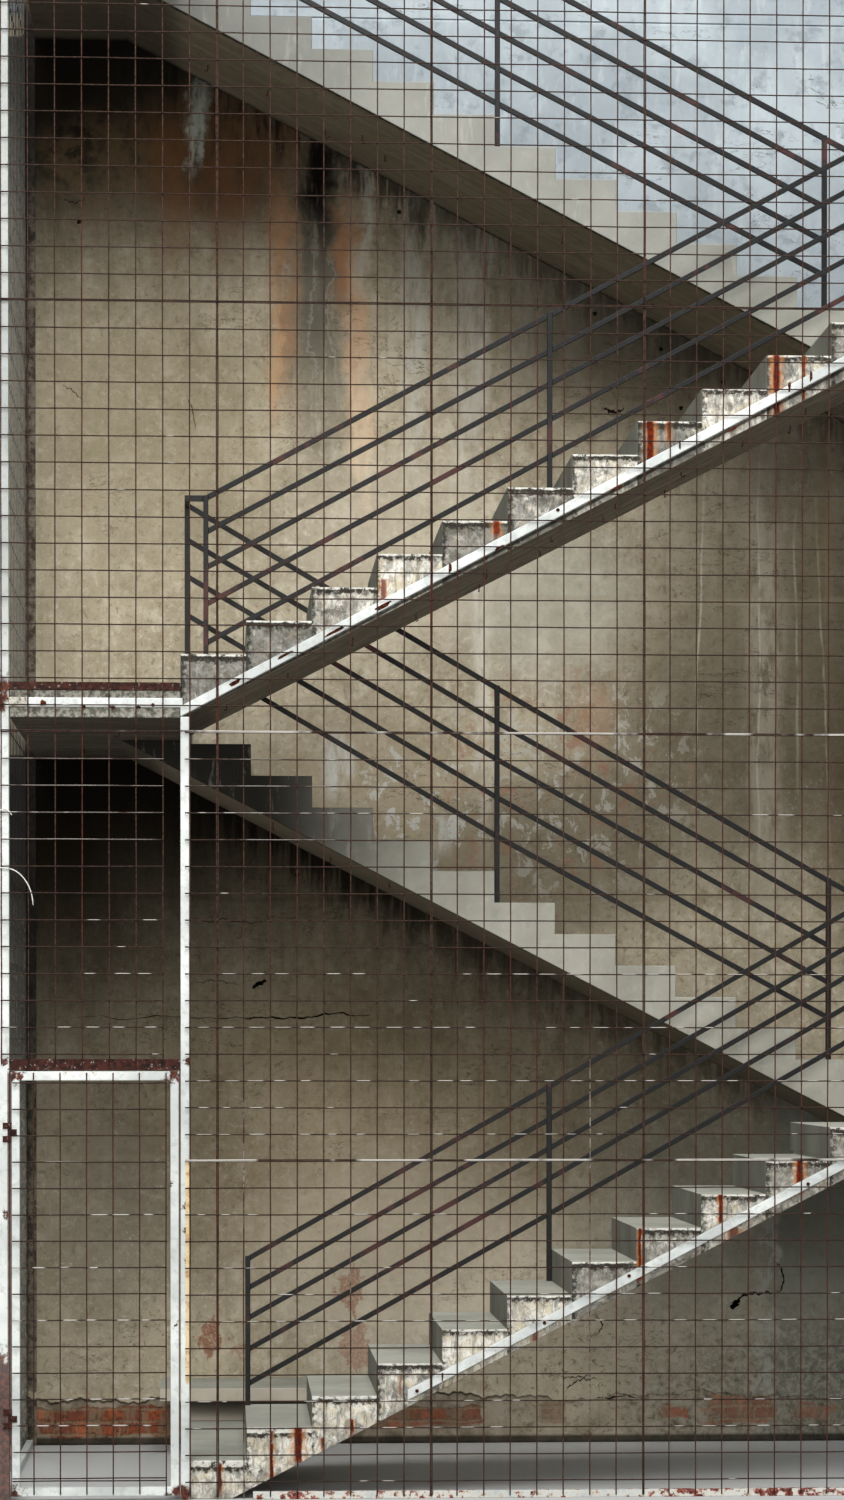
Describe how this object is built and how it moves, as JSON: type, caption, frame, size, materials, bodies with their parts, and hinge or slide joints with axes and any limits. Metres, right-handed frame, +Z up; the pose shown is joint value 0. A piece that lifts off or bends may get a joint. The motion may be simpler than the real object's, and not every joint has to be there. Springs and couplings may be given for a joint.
{
  "type": "fire escape stair",
  "caption": "Concrete dog-leg fire escape stair on its back wall, with end landings, steel railings and a welded mesh screen that has a gate at the foot.",
  "frame": {"origin": "middle of the footprint on the ground", "axes": "+X along the flights towards their low landings, +Y from the mesh screen back to the wall, +Z up"},
  "size_m": [5.57, 2.552, 8.5],
  "materials": {
    "wall_render": "weathered cement render on brick",
    "front_concrete": "cast concrete, stained by mould and rust",
    "concrete": "cast concrete, smooth",
    "railing_paint": "charcoal paint, worn",
    "white_steel": "white paint, rusting",
    "rusty_angle": "red-brown primer and rust",
    "mesh_wire": "rusted welded wire"
  },
  "bodies": {
    "stair": {"back_wall": "wall_render", "parapet": "wall_render", "wall_shelf": "concrete", "flight_1": "front_concrete", "flight_2": "concrete", "flight_3": "front_concrete", "flight_4": "concrete", "landing_low": "concrete", "landing_mid": "concrete", "landing_high": "concrete", "landing_top": "concrete", "corner_post_left": "white_steel", "corner_post_right": "white_steel", "wall_post_left": "white_steel", "wall_post_right": "white_steel", "gate_post": "white_steel", "gate_lintel": "rusty_angle", "base_channel": "white_steel", "side_base_left": "white_steel", "side_base_right": "white_steel", "top_rail": "white_steel", "side_top_left": "white_steel", "side_top_right": "white_steel", "bar_low": "white_steel", "bar_high": "white_steel", "bar_top": "white_steel", "angle_mid": "rusty_angle", "angle_top": "rusty_angle", "railing_1": "railing_paint", "railing_2": "railing_paint", "railing_3": "railing_paint", "railing_4": "railing_paint", "rail_returns": "railing_paint", "landing_guard": "railing_paint", "mesh_a1": "mesh_wire", "mesh_a2": "mesh_wire", "mesh_a3": "mesh_wire", "mesh_a4": "mesh_wire", "mesh_a5": "mesh_wire", "mesh_b1": "mesh_wire", "mesh_b2": "mesh_wire", "mesh_b3": "mesh_wire", "mesh_b4": "mesh_wire", "mesh_b5": "mesh_wire", "mesh_c1": "mesh_wire", "mesh_c2": "mesh_wire", "mesh_c3": "mesh_wire", "side_mesh_l1": "mesh_wire", "side_mesh_l2": "mesh_wire", "side_mesh_l3": "mesh_wire", "side_mesh_r1": "mesh_wire", "side_mesh_r2": "mesh_wire", "side_mesh_r3": "mesh_wire", "post_hinges": "rusty_angle"},
    "gate": {"gate_frame": "white_steel", "gate_mesh": "mesh_wire", "gate_hinges": "rusty_angle"}
  },
  "joints": [
    {"name": "gate_hinge", "type": "hinge", "parent": "stair", "child": "gate", "pos_m": [-2.5925, -1.268, 1], "axis": [0, 0, -1], "range_deg": [0, 100]}
  ]
}
